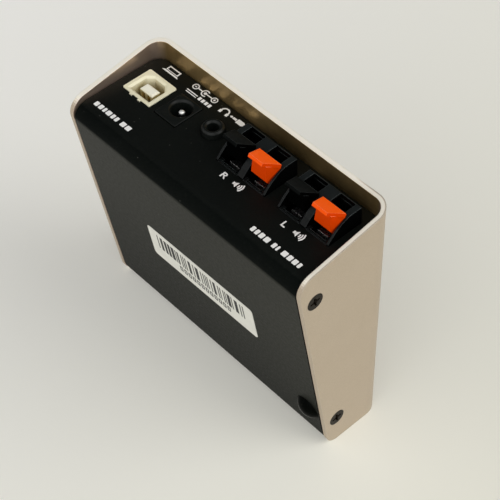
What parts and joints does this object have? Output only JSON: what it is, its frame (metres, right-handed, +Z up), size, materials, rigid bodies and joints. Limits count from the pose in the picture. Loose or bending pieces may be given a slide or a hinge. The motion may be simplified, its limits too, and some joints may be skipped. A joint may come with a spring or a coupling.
{
  "type": "desktop usb audio converter with amplifier",
  "caption": "Wedge-shaped desktop audio converter and amplifier: folded champagne cover over a black chassis, rear sockets, push-lever speaker terminals and a top volume dial.",
  "frame": {"origin": "bottom centre of the outer envelope, which runs from the foot to the dial and from the front rim to the lever tips", "axes": "+Z up with the bottom plate level, -Y out of the front face, +Y out of the socket panel, +X to the right seen from the front"},
  "size_m": [0.0982, 0.0962, 0.0459],
  "materials": {
    "champagne_paint": "fine satin",
    "black_paint": "fine matt powder coat",
    "black_screw": "black oxide",
    "zinc_screw": "bright zinc",
    "zinc_sheet": "galvanised",
    "label_paper": "smooth",
    "foot_rubber": "glossy",
    "film": "thin film",
    "board": "solder mask",
    "ivory_plastic": "semi gloss",
    "gold_contact": "gold flash",
    "tin_contact": "tin plate",
    "black_plastic": "semi matt",
    "gloss_black_plastic": "gloss",
    "orange_plastic": "semi gloss",
    "steel": "fine brushed",
    "dial_aluminium": "turned, champagne anodised",
    "dark_inlay": "gloss",
    "heatsink_aluminium": "black anodised",
    "pad": "soft",
    "clear_plastic": "polished",
    "led_body": "diffuse",
    "cap_sleeve": "shrink sleeve",
    "film_cap": "dipped",
    "ferrite": "sintered",
    "phenolic": "laminate"
  },
  "bodies": {
    "case": {"cover": "champagne_paint", "chassis": "black_paint", "cover_screws": "black_screw", "rating_label": "label_paper", "foot": "foot_rubber", "circuit_board": "board", "board_rails": "zinc_sheet", "board_screws": "zinc_screw", "insulator_sheet": "film", "usb_housing": "ivory_plastic", "usb_contacts": "gold_contact", "usb_board_locks": "tin_contact", "dc_jack_housing": "gloss_black_plastic", "dc_jack_pin": "tin_contact", "dc_jack_spring": "tin_contact", "phones_jack_housing": "gloss_black_plastic", "phones_jack_contacts": "tin_contact", "terminal_housing_right": "black_plastic", "terminal_housing_left": "black_plastic", "terminal_contacts_right": "tin_contact", "terminal_contacts_left": "tin_contact", "volume_pot_base": "phenolic", "volume_pot_case": "steel", "volume_pot_legs": "tin_contact", "power_led": "led_body", "light_pipe": "clear_plastic", "amp_chip": "black_plastic", "usb_chip": "black_plastic", "dac_chip": "black_plastic", "headphone_chip": "black_plastic", "chip_leads": "tin_contact", "thermal_pad": "pad", "heatsink": "heatsink_aluminium", "bulk_capacitors": "cap_sleeve", "small_capacitors": "cap_sleeve", "film_capacitors": "film_cap", "filter_inductors": "ferrite", "crystal": "steel", "regulator": "black_plastic"},
    "dial": {"volume_shaft": "steel", "dial_shell": "dial_aluminium", "dial_hub": "black_plastic", "dial_pointer": "dark_inlay"},
    "right_black_lever": {"lever_black_right": "black_plastic"},
    "right_orange_lever": {"lever_orange_right": "orange_plastic"},
    "left_black_lever": {"lever_black_left": "black_plastic"},
    "left_orange_lever": {"lever_orange_left": "orange_plastic"}
  },
  "joints": [
    {"name": "volume_turn", "type": "hinge", "parent": "case", "child": "dial", "pos_m": [0, -0.00619, 0.0314], "axis": [0, 0.1592, -0.9872], "range_deg": [0, 300]},
    {"name": "right_black_lever_press", "type": "hinge", "parent": "case", "child": "right_black_lever", "pos_m": [-0.0023, 0.03839, 0.02814], "axis": [-1, 0, 0], "range_deg": [0, 14]},
    {"name": "right_orange_lever_press", "type": "hinge", "parent": "case", "child": "right_orange_lever", "pos_m": [-0.0127, 0.03839, 0.02814], "axis": [-1, 0, 0], "range_deg": [0, 14]},
    {"name": "left_black_lever_press", "type": "hinge", "parent": "case", "child": "left_black_lever", "pos_m": [-0.0276, 0.03839, 0.02814], "axis": [-1, 0, 0], "range_deg": [0, 14]},
    {"name": "left_orange_lever_press", "type": "hinge", "parent": "case", "child": "left_orange_lever", "pos_m": [-0.038, 0.03839, 0.02814], "axis": [-1, 0, 0], "range_deg": [0, 14]}
  ]
}
